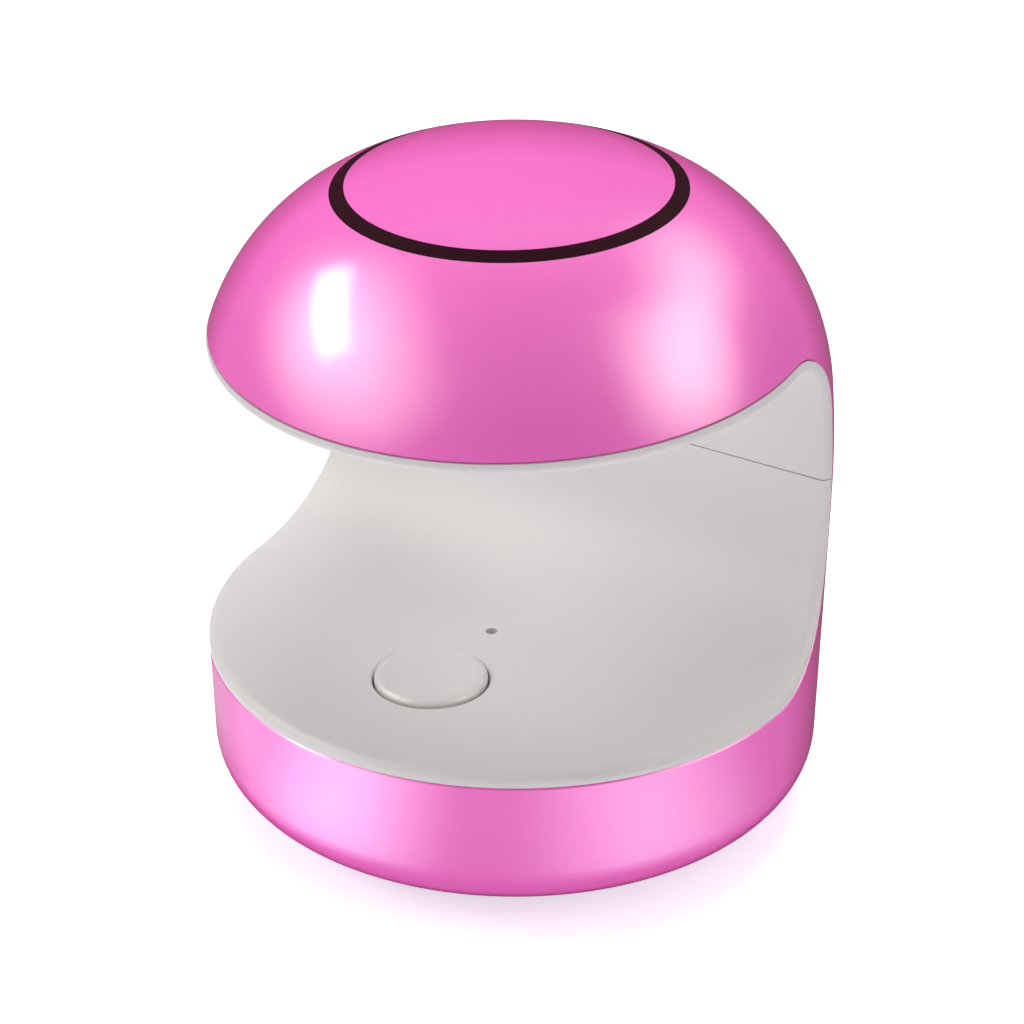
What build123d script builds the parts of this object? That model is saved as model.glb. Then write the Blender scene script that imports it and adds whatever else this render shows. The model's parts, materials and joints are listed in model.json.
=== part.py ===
from build123d import *
import os
from math import atan, atan2, ceil, cos, degrees, radians, sin, sqrt, tan

# Mini nail lamp: a domed head stands over a round base on a column at the back,
# and a finger goes into the gap between them. Sizes are in millimetres, +Z is up,
# the open front faces -Y, and the origin is on the table under the body's middle.

# Outer body, a shape of revolution drawn with tangent arcs
body_radius = 46.0
widest_height = 52.0
body_height = 99.5
crown_radius = 83.4
shoulder_radius = 35.2
upper_side_radius = 158.0
lower_side_lean = 1.2
base_edge_radius = 6.9
belly_radius = 27.5
underside_radius = 28.3
foot_stand_off = 1.0
straight_turn = 12.0
shell_wall = 2.0
shell_parting_height = 47.5
shell_parting_gap = 0.2
shell_rim_chamfer = 0.3

# Gap for the finger, drawn from the side, and the white liner around it
floor_height = 26.7
wall_depth = 14.9
ceiling_front_height = 71.3
ceiling_rise = 3.2
floor_corner_radius = 17.7
ceiling_corner_radius = 10.2
cutter_overrun = 20.0
liner_wall = 1.8
liner_rim_round = 1.2
liner_seam_height = 54.1
liner_seam_gap = 0.16
liner_joint = 0.08
lip_gap = 0.15
lip_wall = 1.2
lip_depth = 3.0

# Dark ring in the top of the dome
ring_outer_radius = 25.0
ring_inner_radius = 23.0
ring_forward = 1.6
ring_thickness = 0.8
ring_gap = 0.05

# Power button and its collar under the floor
button_hole_radius = 8.5
button_gap = 0.3
button_forward = 22.4
button_stand_out = 0.8
button_top_wall = 1.4
button_skirt_wall = 1.3
button_dish_radius = 6.8
button_dish_depth = 0.6
button_edge_round = 0.85
button_dish_round = 0.45
button_flange = 1.2
button_flange_height = 0.9
button_stem_radius = 2.0
button_travel = 0.5
collar_wall = 1.5
collar_drop = 4.0
hole_edge_chamfer = 0.3
stop_gap = 0.1

# Pinhole with its light pipe
pinhole_radius = 0.9
pinhole_forward = 6.5
light_pipe_radius = 1.6
light_pipe_gap = 0.06
pipe_collar_wall = 1.1
pipe_collar_drop = 6.0

# Base cover, feet and the screws that hold the base together
cover_radius = 33.0
cover_gap = 0.25
cover_thickness = 2.4
cover_rib_radius = 15.0
cover_rib_wall = 1.4
cover_rib_height = 2.0
cover_screw_inset = 4.7
front_screw_angle = 45.0
rear_screw_angle = 17.5
seat_gap = 0.05
ledge_width = 2.6
ledge_overlap = 3.0
ledge_height = 2.2
lug_radius = 3.4
lug_height = 2.6
foot_radius = 4.2
foot_ring_radius = 19.5
foot_recess = 0.8
foot_gap = 0.1
foot_edge_chamfer = 0.4
foot_count = 4
first_foot_angle = 45.0

# Screws, as head radius, head height and shank radius
big_head_radius = 2.3
big_head_height = 1.4
big_shank_radius = 1.3
small_head_radius = 1.8
small_head_height = 1.2
small_shank_radius = 1.0
screw_clearance = 0.15
thread_gap = 0.04
hole_spare = 0.8
head_sink = 0.1
head_clearance = 0.25
cross_width = 0.6
cross_depth = 0.7
boss_wall = 1.7
head_boss_wall = 1.2
cover_screw_length = 9.0
head_screw_length = 7.0
column_screw_length = 13.0
board_screw_length = 5.5
led_screw_length = 4.2

# Column posts and bosses
post_spread = 15.0
post_radius = 3.8
post_setback = 4.0
post_web = 5.4
boss_rise = 14.0
rib_wall = 1.6

# Control board and what stands on it
board_drop = 9.3
board_thickness = 1.6
board_front = 34.0
board_front_width = 28.0
board_step = 6.0
board_tail_width = 20.0
board_edge_gap = 0.6
board_corner = 1.5
board_screw_spread_front = 10.5
board_screw_forward = 31.0
board_screw_spread_rear = 7.4
board_screw_back = 10.5
board_rest_spread = 8.0
board_rest_length = 6.0

# Push switch
switch_side = 6.0
switch_height = 3.4
switch_cover_thickness = 0.3
plunger_radius = 1.75
plunger_flange = 0.45
plunger_flange_height = 0.6
plunger_stand_out = 1.3
plunger_gap = 0.06
plunger_spare = 0.5
contact_gap = 0.05

# Small parts on the board
led_chip_length = 3.2
led_chip_width = 2.6
led_chip_height = 1.4
timer_length = 5.0
timer_width = 4.0
timer_height = 1.5
timer_back = 1.5
lead_length = 0.9
lead_width = 0.5
lead_thickness = 0.3
lead_pitch = 1.27
lead_count = 4
capacitor_radius = 3.15
capacitor_height = 7.0
capacitor_spread = 4.8
capacitor_back = 17.5
coil_radius = 3.2
coil_height = 3.6
coil_waist = 0.7
coil_flange = 0.8
resistor_length = 2.0
resistor_width = 1.25
resistor_height = 0.6
resistor_forward = 13.0
resistor_pitch = 2.6
resistor_count = 4

# Power inlet at the back
usb_width = 7.5
usb_height = 2.6
usb_depth = 5.6
usb_wall = 0.3
usb_slant = 0.9
usb_mouth_recess = 0.8
usb_window_gap = 0.3
usb_pocket_width = 11.6
usb_pocket_height = 7.0
usb_pocket_depth = 0.7
usb_pocket_corner = 1.8
tongue_width = 3.8
tongue_thickness = 0.6
tongue_inset = 1.0
tongue_block = 1.2

# Header, plug and wires to the lamp's board
header_length = 6.0
header_width = 4.6
header_height = 3.6
header_wall = 0.6
header_floor = 1.0
header_back = 27.0
pin_side = 0.5
pin_pitch = 2.4
pin_height = 3.4
plug_gap = 0.12
plug_rise = 2.4
wire_radius = 0.65
wire_pitch = 2.4
wire_first_run = 14.0
wire_bow = 3.0
wire_shoulder_drop = 5.0
wire_lean = 15.0
wire_rise_share = 0.48
wire_bend_share = 0.45

# Reflector, lamp board and lamps, placed on the ceiling
lamp_forward = 13.0
tray_length = 46.0
tray_width = 32.0
tray_corner = 4.0
tray_cup_corner = 2.0
tray_flange = 1.2
tray_gap = 0.15
tray_wall = 1.0
tray_height = 6.0
tray_mouth_length = 31.0
tray_mouth_width = 18.0
tray_roof_length = 28.0
tray_roof_width = 15.0
tray_screw_inset = 3.4
pad_margin = 3.0
pad_rise = 1.2
pad_corner = 8.0
head_web = 2.0
lamp_board_inset = 0.5
lamp_board_width = 17.0
lamp_board_thickness = 1.6
lamp_board_corner = 2.0
lamp_screw_inset = 2.7
lamp_columns = 3
lamp_rows = 2
lamp_pitch_x = 9.5
lamp_pitch_y = 7.5
lamp_side = 3.5
lamp_thickness = 1.0
lamp_dome_radius = 1.45
lamp_dome_taper = 35.0
lamp_hole_gap = 0.2
solder_back = 7.0

# Where the driving sizes put the main pieces
liner_under = floor_height - liner_wall
board_top = liner_under - board_drop
board_under = board_top - board_thickness
cover_top = foot_stand_off + cover_thickness
cover_pocket_radius = cover_radius + cover_gap
cover_screw_seat = foot_stand_off + head_sink + big_head_height
lug_top = cover_top + seat_gap + lug_height
ledge_top = cover_top + ledge_height
liner_boss_under = lug_top + seat_gap
post_back = wall_depth + liner_wall + post_setback + post_radius
shell_low_top = shell_parting_height - shell_parting_gap / 2
shell_high_bottom = shell_parting_height + shell_parting_gap / 2
post_seat = shell_low_top - post_web
button_radius = button_hole_radius - button_gap
button_top = floor_height + button_stand_out
collar_under = liner_under - collar_drop
switch_cover_under = board_top + switch_height
switch_top = switch_cover_under + switch_cover_thickness
plunger_top = switch_top + plunger_stand_out
corner_top = floor_height + floor_corner_radius
small_boss_radius = small_shank_radius + boss_wall
big_boss_radius = big_shank_radius + boss_wall
rise_angle = radians(ceiling_rise)
down = Vector(0, -1)
out = Vector(1, 0)
up = Vector(0, 1)


# Centre of an arc that touches two larger arcs from inside
def touching_centre(first, first_reach, second, second_reach):
    across = second - first
    along = (first_reach**2 - second_reach**2 + across.length**2) / (2 * across.length)
    aside = sqrt(first_reach**2 - along**2)
    unit = across.normalized()
    return first + unit * along - Vector(-unit.Y, unit.X) * aside


# Centre of an arc that touches a line and a larger arc from inside, where the two draw together
def touching_line_centre(point, along_line, centre, reach):
    across = point - centre
    back = across.dot(along_line)
    return point + along_line * (sqrt(back**2 - across.dot(across) + reach**2) - back)


# The half profile's arcs, from the underside to the crown: centre, radius, first and last direction.
# The lower side runs straight from the base's edge to the upper side, and leans in downwards.
crown_centre = Vector(0, body_height - crown_radius)
upper_side_centre = Vector(body_radius - upper_side_radius, widest_height)
shoulder_centre = touching_centre(
    crown_centre, crown_radius - shoulder_radius,
    upper_side_centre, upper_side_radius - shoulder_radius,
)
belly_centre = Vector(underside_radius, foot_stand_off + belly_radius)
side_face = out.rotate(Axis.Z, -lower_side_lean)
side_fall = side_face.rotate(Axis.Z, -90)
side_top = upper_side_centre + side_face * upper_side_radius
base_edge_centre = touching_line_centre(
    side_top - side_face * base_edge_radius, side_fall, belly_centre, belly_radius - base_edge_radius,
)
belly_to_edge = (base_edge_centre - belly_centre).normalized()
side_to_shoulder = (shoulder_centre - upper_side_centre).normalized()
shoulder_to_crown = (shoulder_centre - crown_centre).normalized()
profile_arcs = [
    (belly_centre, belly_radius, down, belly_to_edge),
    (base_edge_centre, base_edge_radius, belly_to_edge, side_face),
    (upper_side_centre, upper_side_radius, side_face, side_to_shoulder),
    (shoulder_centre, shoulder_radius, side_to_shoulder, shoulder_to_crown),
    (crown_centre, crown_radius, shoulder_to_crown, up),
]


# The side's straight run and the two lines that close the half profile, taken in by an even amount
def profile_lines(inset):
    Line(
        base_edge_centre + side_face * (base_edge_radius - inset),
        upper_side_centre + side_face * (upper_side_radius - inset),
    )
    bottom = foot_stand_off + inset
    Polyline((0, body_height - inset), (0, bottom), (underside_radius, bottom))


# The whole body
def body_solid():
    with BuildPart() as solid:
        with BuildSketch(Plane.YZ):
            with BuildLine():
                for centre, radius, start, finish in profile_arcs:
                    middle = (start + finish).normalized()
                    ThreePointArc(centre + start * radius, centre + middle * radius, centre + finish * radius)
                profile_lines(0)
            make_face()
        revolve(axis=Axis.Z)
    return solid.part


# The body taken in by an even amount, with its arcs as short straight runs, for the hidden insides
def inner_solid(inset):
    with BuildPart() as solid:
        with BuildSketch(Plane.YZ):
            with BuildLine():
                for centre, radius, start, finish in profile_arcs:
                    turn = start.get_angle(finish)
                    runs = ceil(turn / straight_turn)
                    steps = [start.rotate(Axis.Z, turn * step / runs) for step in range(runs + 1)]
                    Polyline(*[centre + step * (radius - inset) for step in steps])
                profile_lines(inset)
            make_face()
        revolve(axis=Axis.Z)
    return solid.part


# Radius of the body's straight lower side at a height
def side_radius(height):
    return side_top.X - (side_top.Y - height) * tan(radians(lower_side_lean))


# Height of the dome at a distance from the body's axis
def dome_height(distance):
    on_crown = distance < crown_radius * shoulder_to_crown.X
    centre, radius = (crown_centre, crown_radius) if on_crown else (shoulder_centre, shoulder_radius)
    return centre.Y + sqrt(radius**2 - (distance - centre.X) ** 2)


# Mean height of the dome along a circle about the ring's own axis
def ring_height(radius):
    return (dome_height(radius + ring_forward) + dome_height(radius - ring_forward)) / 2


# Height of the ceiling at a depth, or of the surface that lies grow above it
def ceiling_height(depth, grow=0.0):
    return ceiling_front_height + (depth + body_radius) * tan(rise_angle) + grow / cos(rise_angle)


# The space cut out of the body for the finger, or the same grown evenly into the body
def gap_solid(grow=0.0):
    front = -body_radius - cutter_overrun
    wall = wall_depth + grow
    low = floor_height - grow
    high = ceiling_height(wall, grow)
    with BuildPart() as solid:
        with BuildSketch(Plane.YZ):
            with BuildLine():
                mouth_top = ceiling_height(front, grow)
                Polyline((front, low), (wall, low), (wall, high), (front, mouth_top), close=True)
            make_face()
            fillet(vertices().sort_by_distance((wall, low))[0], floor_corner_radius + grow)
            fillet(vertices().sort_by_distance((wall, high))[0], ceiling_corner_radius + grow)
        extrude(amount=body_radius + cutter_overrun, both=True)
    return solid.part


# Screws whose heads seat on a plane and whose shanks point along its normal
def screw_set(plane, points, head_radius, head_height, shank_radius, length):
    with BuildPart() as screws:
        with BuildSketch(plane):
            with Locations(*points):
                Circle(head_radius)
        extrude(amount=-head_height)
        with BuildSketch(plane):
            with Locations(*points):
                Circle(shank_radius)
        extrude(amount=length)
        with BuildSketch(plane.offset(-head_height)):
            with Locations(*points):
                Rectangle(head_radius, cross_width)
                Rectangle(cross_width, head_radius)
        extrude(amount=cross_depth, mode=Mode.SUBTRACT)
    return screws.part


# The dark ring, or the groove for it: turned about an axis that leans forward as the dome does there
def ring_band(grow, rise):
    inner = ring_inner_radius - grow
    outer = ring_outer_radius + grow
    with BuildPart() as band:
        with BuildSketch(ring_side):
            with BuildLine():
                Polyline(
                    (inner, ring_height(inner) - ring_thickness - grow),
                    (outer, ring_height(outer) - ring_thickness - grow),
                    (outer, ring_height(outer) + rise),
                    (inner, ring_height(inner) + rise),
                    close=True,
                )
            make_face()
        revolve(axis=Axis(ring_side.origin, ring_side.y_dir))
    return band.part


# The liner's wall around the whole gap, with a rounded rim and a lip that locates it in the shells
def liner_blank():
    with BuildPart() as lip:
        add(inner_solid(shell_wall + lip_gap))
        add(inner_solid(shell_wall + lip_gap + lip_wall), mode=Mode.SUBTRACT)
        add(gap_solid(liner_wall + lip_depth), mode=Mode.INTERSECT)
        add(gap_solid(liner_wall / 2), mode=Mode.SUBTRACT)
    with BuildPart() as blank:
        add(body_solid())
        add(gap_solid(), mode=Mode.SUBTRACT)
        fillet(blank.edges(Select.LAST).filter_by(GeomType.BSPLINE), liner_rim_round)
        add(gap_solid(liner_wall), mode=Mode.INTERSECT)
        add(lip.part)
    return blank.part


# The pink skin all round, open at the gap, with its rim softened
def shell_blank():
    with BuildPart() as blank:
        add(body_solid())
        add(gap_solid(liner_wall + liner_joint), mode=Mode.SUBTRACT)
        chamfer(blank.edges(Select.LAST).filter_by(GeomType.BSPLINE), shell_rim_chamfer)
        add(inner_solid(shell_wall), mode=Mode.SUBTRACT)
    return blank.part


# Where the ring's section is drawn, with heights along its own axis counted from about the table
ring_middle = (ring_outer_radius + ring_inner_radius) / 2
ring_level = ring_height(ring_middle)
ring_drop = dome_height(ring_middle - ring_forward) - dome_height(ring_middle + ring_forward)
ring_lean = atan(ring_drop / (2 * ring_middle))
ring_side = Plane(
    origin=(0, ring_level * sin(ring_lean) - ring_forward, ring_level * (1 - cos(ring_lean))),
    x_dir=(1, 0, 0),
    z_dir=(0, -cos(ring_lean), -sin(ring_lean)),
)


# Posts of the column with a rib from each to the wall behind it
def column_post_outline():
    for point in post_points:
        with Locations(point):
            Circle(post_radius)
            outward = degrees(atan2(point[1], point[0]))
            Rectangle(body_radius, rib_wall, rotation=outward, align=(Align.MIN, Align.CENTER))


ceiling_plane = Plane(
    origin=(0, -lamp_forward, ceiling_height(-lamp_forward)),
    x_dir=(1, 0, 0),
    z_dir=(0, -sin(rise_angle), cos(rise_angle)),
)
cover_screw_radius = cover_radius - cover_screw_inset
cover_screw_points = [
    (side * cover_screw_radius * cos(radians(angle)), cover_screw_radius * sin(radians(angle)))
    for side in (-1, 1)
    for angle in (-front_screw_angle, rear_screw_angle)
]
post_points = [(-post_spread, post_back), (post_spread, post_back)]
board_screw_points = [
    (side * spread, depth)
    for side in (-1, 1)
    for spread, depth in (
        (board_screw_spread_front, -board_screw_forward),
        (board_screw_spread_rear, board_screw_back),
    )
]
board_inner_reach = side_radius(board_top) - shell_wall - board_edge_gap
board_end = sqrt(board_inner_reach**2 - (board_tail_width / 2) ** 2)
board_rest_points = [(side * board_rest_spread, board_end - board_rest_length) for side in (-1, 1)]
tray_screw_x = tray_length / 2 - tray_screw_inset
tray_screw_y = tray_width / 2 - tray_screw_inset
head_screw_points = [(x, y) for x in (-tray_screw_x, tray_screw_x) for y in (-tray_screw_y, tray_screw_y)]
tray_hole_length = tray_mouth_length + 2 * (tray_wall + tray_gap)
tray_hole_width = tray_mouth_width + 2 * (tray_wall + tray_gap)
head_seat = tray_flange + head_clearance + big_head_height
head_boss_top = head_seat + head_web
head_boss_radius = big_head_radius + head_clearance + head_boss_wall
lamp_board_length = tray_length - 2 * lamp_board_inset
lamp_screw_x = lamp_board_length / 2 - lamp_screw_inset
lamp_screw_points = [(-lamp_screw_x, 0), (lamp_screw_x, 0)]
lamp_board_top = tray_height + lamp_board_thickness
usb_middle = board_top + usb_height / 2
usb_mouth = side_radius(usb_middle) - usb_mouth_recess

# Bosses inside the dome: four for the ceiling liner, and two in the column
with BuildPart() as head_bosses:
    with BuildSketch(ceiling_plane.offset(head_boss_top + seat_gap)):
        with Locations(*head_screw_points):
            Circle(big_boss_radius)
    extrude(amount=body_height)
    with BuildSketch(Plane.XY.offset(shell_high_bottom)):
        column_post_outline()
    extrude(amount=boss_rise)
    add(inner_solid(shell_wall / 2), mode=Mode.INTERSECT)

skin = shell_blank()
with BuildPart() as upper_shell:
    add(skin)
    split(bisect_by=Plane.XY.offset(shell_high_bottom), keep=Keep.TOP)
    add(head_bosses.part)
    add(ring_band(ring_gap, ring_thickness), mode=Mode.SUBTRACT)
    with BuildSketch(ceiling_plane.offset(head_boss_top)):
        with Locations(*head_screw_points):
            Circle(big_shank_radius + thread_gap)
    extrude(amount=head_seat + head_screw_length + hole_spare - head_boss_top, mode=Mode.SUBTRACT)
    with BuildSketch(Plane.XY.offset(shell_high_bottom)):
        with Locations(*post_points):
            Circle(big_shank_radius + thread_gap)
    extrude(amount=post_seat + column_screw_length + hole_spare - shell_high_bottom, mode=Mode.SUBTRACT)
upper_shell.part.label = "upper_shell"

with BuildPart() as trim_ring:
    add(ring_band(0, 0))
trim_ring.part.label = "trim_ring"

# Everything that stands up inside the base: ledge and lugs for the cover, posts, rests for the board
with BuildPart() as base_posts:
    with BuildSketch():
        Circle(cover_pocket_radius + ledge_overlap)
        Circle(cover_pocket_radius - ledge_width, mode=Mode.SUBTRACT)
    extrude(amount=ledge_top)
    with BuildSketch():
        with Locations(*cover_screw_points):
            Circle(lug_radius)
    extrude(amount=lug_top)
    with BuildSketch():
        column_post_outline()
    extrude(amount=shell_low_top)
    with BuildSketch():
        with Locations(*board_rest_points):
            Rectangle(rib_wall, body_radius, align=(Align.CENTER, Align.MIN))
    extrude(amount=board_under)
    add(inner_solid(shell_wall / 2), mode=Mode.INTERSECT)

with BuildPart() as cover_pocket:
    with BuildSketch():
        Circle(cover_pocket_radius)
    extrude(amount=board_under)
    add(inner_solid(cover_thickness + seat_gap), mode=Mode.SUBTRACT)


# Outline of the power inlet, seen from behind, taken in by an even amount
def usb_outline(shrink):
    with Locations((0, board_top + shrink)):
        Rectangle(usb_width - 2 * shrink, usb_height - 2 * shrink, align=(Align.CENTER, Align.MIN))
    chamfer(vertices().group_by(Axis.Y)[0], usb_slant)


with BuildPart() as lower_shell:
    add(skin)
    split(bisect_by=Plane.XY.offset(shell_low_top), keep=Keep.BOTTOM)
    add(base_posts.part)
    add(cover_pocket.part, mode=Mode.SUBTRACT)
    with BuildSketch():
        with Locations(*cover_screw_points):
            Circle(big_shank_radius + screw_clearance)
    extrude(amount=lug_top, mode=Mode.SUBTRACT)
    with BuildSketch(Plane.XY.offset(cover_top)):
        with Locations(*post_points):
            Circle(big_head_radius + head_clearance)
    extrude(amount=post_seat - cover_top, mode=Mode.SUBTRACT)
    with BuildSketch(Plane.XY.offset(post_seat)):
        with Locations(*post_points):
            Circle(big_shank_radius + screw_clearance)
    extrude(amount=post_web, mode=Mode.SUBTRACT)
    with BuildSketch(Plane.XZ.offset(-body_radius)):
        usb_outline(-usb_window_gap)
    extrude(amount=body_radius - usb_mouth + usb_depth, mode=Mode.SUBTRACT)
    with BuildSketch(Plane.XZ.offset(-body_radius)):
        with Locations((0, usb_middle)):
            RectangleRounded(usb_pocket_width, usb_pocket_height, usb_pocket_corner)
    extrude(amount=body_radius - side_radius(usb_middle) + usb_pocket_depth, mode=Mode.SUBTRACT)
lower_shell.part.label = "lower_shell"

# Bosses and collars that hang from the floor
with BuildPart() as floor_bosses:
    with BuildSketch(Plane.XY.offset(liner_boss_under)):
        with Locations(*cover_screw_points):
            Circle(big_boss_radius)
    extrude(amount=corner_top - liner_boss_under)
    with BuildSketch(Plane.XY.offset(board_top)):
        with Locations(*board_screw_points):
            Circle(small_boss_radius)
    extrude(amount=corner_top - board_top)
    with BuildSketch(Plane.XY.offset(collar_under)):
        with Locations((0, -button_forward)):
            Circle(button_hole_radius + collar_wall)
    extrude(amount=corner_top - collar_under)
    with BuildSketch(Plane.XY.offset(liner_under - pipe_collar_drop)):
        with Locations((0, -pinhole_forward)):
            Circle(light_pipe_radius + light_pipe_gap + pipe_collar_wall)
    extrude(amount=corner_top - liner_under + pipe_collar_drop)
    add(gap_solid(liner_wall / 2), mode=Mode.SUBTRACT)

liner = liner_blank()
with BuildPart() as lower_liner:
    add(liner)
    split(bisect_by=Plane.XY.offset(liner_seam_height - liner_seam_gap / 2), keep=Keep.BOTTOM)
    add(floor_bosses.part)
    with BuildSketch(Plane.XY.offset(floor_height)):
        with Locations((0, -button_forward)):
            Circle(button_hole_radius)
    extrude(amount=collar_under - floor_height, mode=Mode.SUBTRACT)
    chamfer(lower_liner.edges(Select.LAST).group_by(Axis.Z)[-1], hole_edge_chamfer)
    with BuildSketch(Plane.XY.offset(floor_height)):
        with Locations((0, -pinhole_forward)):
            Circle(pinhole_radius)
    extrude(amount=-liner_wall, mode=Mode.SUBTRACT)
    with BuildSketch(Plane.XY.offset(liner_under)):
        with Locations((0, -pinhole_forward)):
            Circle(light_pipe_radius + light_pipe_gap)
    extrude(amount=-pipe_collar_drop, mode=Mode.SUBTRACT)
    with BuildSketch(Plane.XY.offset(liner_boss_under)):
        with Locations(*cover_screw_points):
            Circle(big_shank_radius + thread_gap)
    extrude(amount=cover_screw_seat + cover_screw_length + hole_spare - liner_boss_under, mode=Mode.SUBTRACT)
    with BuildSketch(Plane.XY.offset(board_top)):
        with Locations(*board_screw_points):
            Circle(small_shank_radius + thread_gap)
    extrude(amount=board_screw_length - board_thickness + hole_spare, mode=Mode.SUBTRACT)
lower_liner.part.label = "lower_liner"

with BuildPart() as upper_liner:
    add(liner)
    split(bisect_by=Plane.XY.offset(liner_seam_height + liner_seam_gap / 2), keep=Keep.TOP)
    with BuildSketch(ceiling_plane.offset(liner_wall / 2)):
        RectangleRounded(tray_length + 2 * pad_margin, tray_width + 2 * pad_margin, pad_corner)
    extrude(amount=liner_wall / 2 + pad_rise)
    with BuildSketch(ceiling_plane.offset(liner_wall)):
        with Locations(*head_screw_points):
            Circle(head_boss_radius)
    extrude(amount=head_boss_top - liner_wall)
    with BuildSketch(ceiling_plane.offset(liner_wall)):
        with Locations(*lamp_screw_points):
            Circle(small_boss_radius)
    extrude(amount=tray_height - liner_wall)
    with BuildSketch(ceiling_plane.offset(tray_flange + seat_gap)):
        RectangleRounded(tray_length + 2 * tray_gap, tray_width + 2 * tray_gap, tray_corner + tray_gap)
    extrude(amount=-cutter_overrun, mode=Mode.SUBTRACT)
    with BuildSketch(ceiling_plane):
        RectangleRounded(tray_hole_length, tray_hole_width, tray_cup_corner + tray_wall + tray_gap)
    extrude(amount=tray_height, mode=Mode.SUBTRACT)
    with BuildSketch(ceiling_plane):
        with Locations(*head_screw_points):
            Circle(big_head_radius + head_clearance)
    extrude(amount=head_seat, mode=Mode.SUBTRACT)
    with BuildSketch(ceiling_plane.offset(head_seat)):
        with Locations(*head_screw_points):
            Circle(big_shank_radius + screw_clearance)
    extrude(amount=head_web, mode=Mode.SUBTRACT)
    with BuildSketch(ceiling_plane.offset(tray_height)):
        with Locations(*lamp_screw_points):
            Circle(small_shank_radius + thread_gap)
    extrude(amount=lamp_board_thickness - led_screw_length, mode=Mode.SUBTRACT)
upper_liner.part.label = "upper_liner"

with BuildPart() as base_cover:
    with BuildSketch():
        Circle(cover_radius)
    extrude(amount=board_under)
    add(body_solid(), mode=Mode.INTERSECT)
    add(inner_solid(cover_thickness), mode=Mode.SUBTRACT)
    with BuildSketch(Plane.XY.offset(cover_top)):
        Circle(cover_rib_radius)
        Circle(cover_rib_radius - cover_rib_wall, mode=Mode.SUBTRACT)
    extrude(amount=cover_rib_height)
    with BuildSketch():
        with PolarLocations(foot_ring_radius, foot_count, start_angle=first_foot_angle):
            Circle(foot_radius + foot_gap)
    extrude(amount=foot_stand_off + foot_recess, mode=Mode.SUBTRACT)
    with BuildSketch():
        with Locations(*cover_screw_points):
            Circle(big_head_radius + head_clearance)
    extrude(amount=cover_screw_seat, mode=Mode.SUBTRACT)
    with BuildSketch(Plane.XY.offset(cover_screw_seat)):
        with Locations(*cover_screw_points):
            Circle(big_shank_radius + screw_clearance)
    extrude(amount=cover_thickness, mode=Mode.SUBTRACT)
base_cover.part.label = "base_cover"

with BuildPart() as rubber_feet:
    with BuildSketch():
        with PolarLocations(foot_ring_radius, foot_count, start_angle=first_foot_angle):
            Circle(foot_radius)
    extrude(amount=foot_stand_off + foot_recess)
    chamfer(rubber_feet.edges().group_by(Axis.Z)[0], foot_edge_chamfer)
rubber_feet.part.label = "rubber_feet"

# Round button with a dished top, a skirt that slides in the collar and a flange that keeps it in
dish_ball_radius = (button_dish_radius**2 + button_dish_depth**2) / (2 * button_dish_depth)
button_flange_top = collar_under - stop_gap
button_flange_under = button_flange_top - button_flange_height
button_ceiling = button_top - button_dish_depth - button_top_wall
button_stem_end = plunger_top + contact_gap
with BuildPart() as power_button:
    with BuildSketch(Plane.XZ.offset(button_forward)):
        with BuildLine():
            Polyline(
                (0, button_top),
                (button_radius, button_top),
                (button_radius, button_flange_top),
                (button_radius + button_flange, button_flange_top),
                (button_radius + button_flange, button_flange_under),
                (button_radius - button_skirt_wall, button_flange_under),
                (button_radius - button_skirt_wall, button_ceiling),
                (button_stem_radius, button_ceiling),
                (button_stem_radius, button_stem_end),
                (0, button_stem_end),
                close=True,
            )
        make_face()
    revolve(axis=Axis((0, -button_forward, 0), (0, 0, 1)))
    with Locations((0, -button_forward, button_top - button_dish_depth + dish_ball_radius)):
        Sphere(dish_ball_radius, mode=Mode.SUBTRACT)
    rim_edges = power_button.edges().group_by(Axis.Z)[-1].sort_by(SortBy.LENGTH)
    fillet(rim_edges[-1], button_edge_round)
    rim_edges = power_button.edges().filter_by(GeomType.CIRCLE).group_by(Axis.Z)[-1].sort_by(SortBy.LENGTH)
    fillet(rim_edges[0], button_dish_round)
power_button.part.label = "power_button"

with BuildPart() as switch_housing:
    with BuildSketch(Plane.XY.offset(board_top)):
        with Locations((0, -button_forward)):
            Rectangle(switch_side, switch_side)
    extrude(amount=switch_height)
    with BuildSketch(Plane.XY.offset(switch_cover_under)):
        with Locations((0, -button_forward)):
            Circle(plunger_radius + plunger_flange + plunger_gap)
    pocket_depth = plunger_gap + plunger_flange_height + button_travel + plunger_spare
    extrude(amount=-pocket_depth, mode=Mode.SUBTRACT)
switch_housing.part.label = "switch_housing"

with BuildPart() as switch_cover:
    with BuildSketch(Plane.XY.offset(switch_cover_under)):
        with Locations((0, -button_forward)):
            Rectangle(switch_side, switch_side)
            Circle(plunger_radius + plunger_gap, mode=Mode.SUBTRACT)
    extrude(amount=switch_cover_thickness)
switch_cover.part.label = "switch_cover"

with BuildPart() as switch_plunger:
    with BuildSketch(Plane.XY.offset(switch_cover_under - plunger_gap - plunger_flange_height)):
        with Locations((0, -button_forward)):
            Circle(plunger_radius + plunger_flange)
    extrude(amount=plunger_flange_height)
    with BuildSketch(Plane.XY.offset(switch_cover_under - plunger_gap)):
        with Locations((0, -button_forward)):
            Circle(plunger_radius)
    extrude(amount=plunger_top - switch_cover_under + plunger_gap)
switch_plunger.part.label = "switch_plunger"

with BuildPart() as control_board:
    with BuildSketch(Plane.XY.offset(board_under)):
        with Locations((0, -board_front)):
            Rectangle(board_front_width, board_front + board_step, align=(Align.CENTER, Align.MIN))
            Rectangle(board_tail_width, board_front + board_end, align=(Align.CENTER, Align.MIN))
        fillet(vertices(), board_corner)
        with Locations(*board_screw_points):
            Circle(small_shank_radius + screw_clearance, mode=Mode.SUBTRACT)
    extrude(amount=board_thickness)
control_board.part.label = "control_board"

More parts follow.
